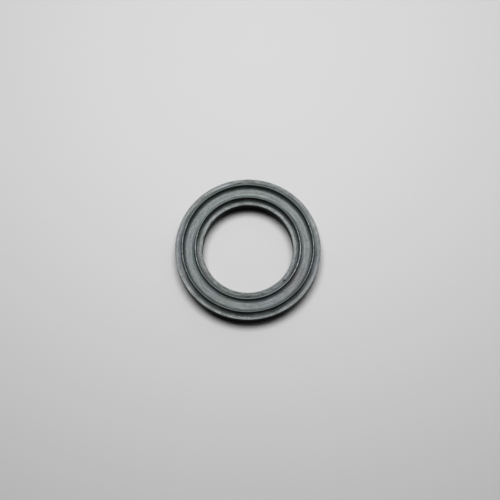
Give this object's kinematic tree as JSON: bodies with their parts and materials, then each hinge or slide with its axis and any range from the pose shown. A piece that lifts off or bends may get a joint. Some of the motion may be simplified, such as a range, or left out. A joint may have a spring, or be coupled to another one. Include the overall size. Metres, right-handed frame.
{
  "type": "rubber lip seal",
  "caption": "Round rubber seal with two thin upright lips, a rounded groove between them, a straight bore and a flat heel.",
  "frame": {"origin": "centre of the bore, in the plane of the flat heel face that the seal lies on", "axes": "+Z along the axis of the bore, from the heel towards the lips; X and Y lie in the heel's plane and are free, because the seal is round"},
  "size_m": [0.025, 0.025, 0.0034],
  "materials": {
    "rubber": "satin moulded rubber, cool grey-black"
  },
  "bodies": {
    "root": {"seal_ring": "rubber"}
  },
  "joints": []
}
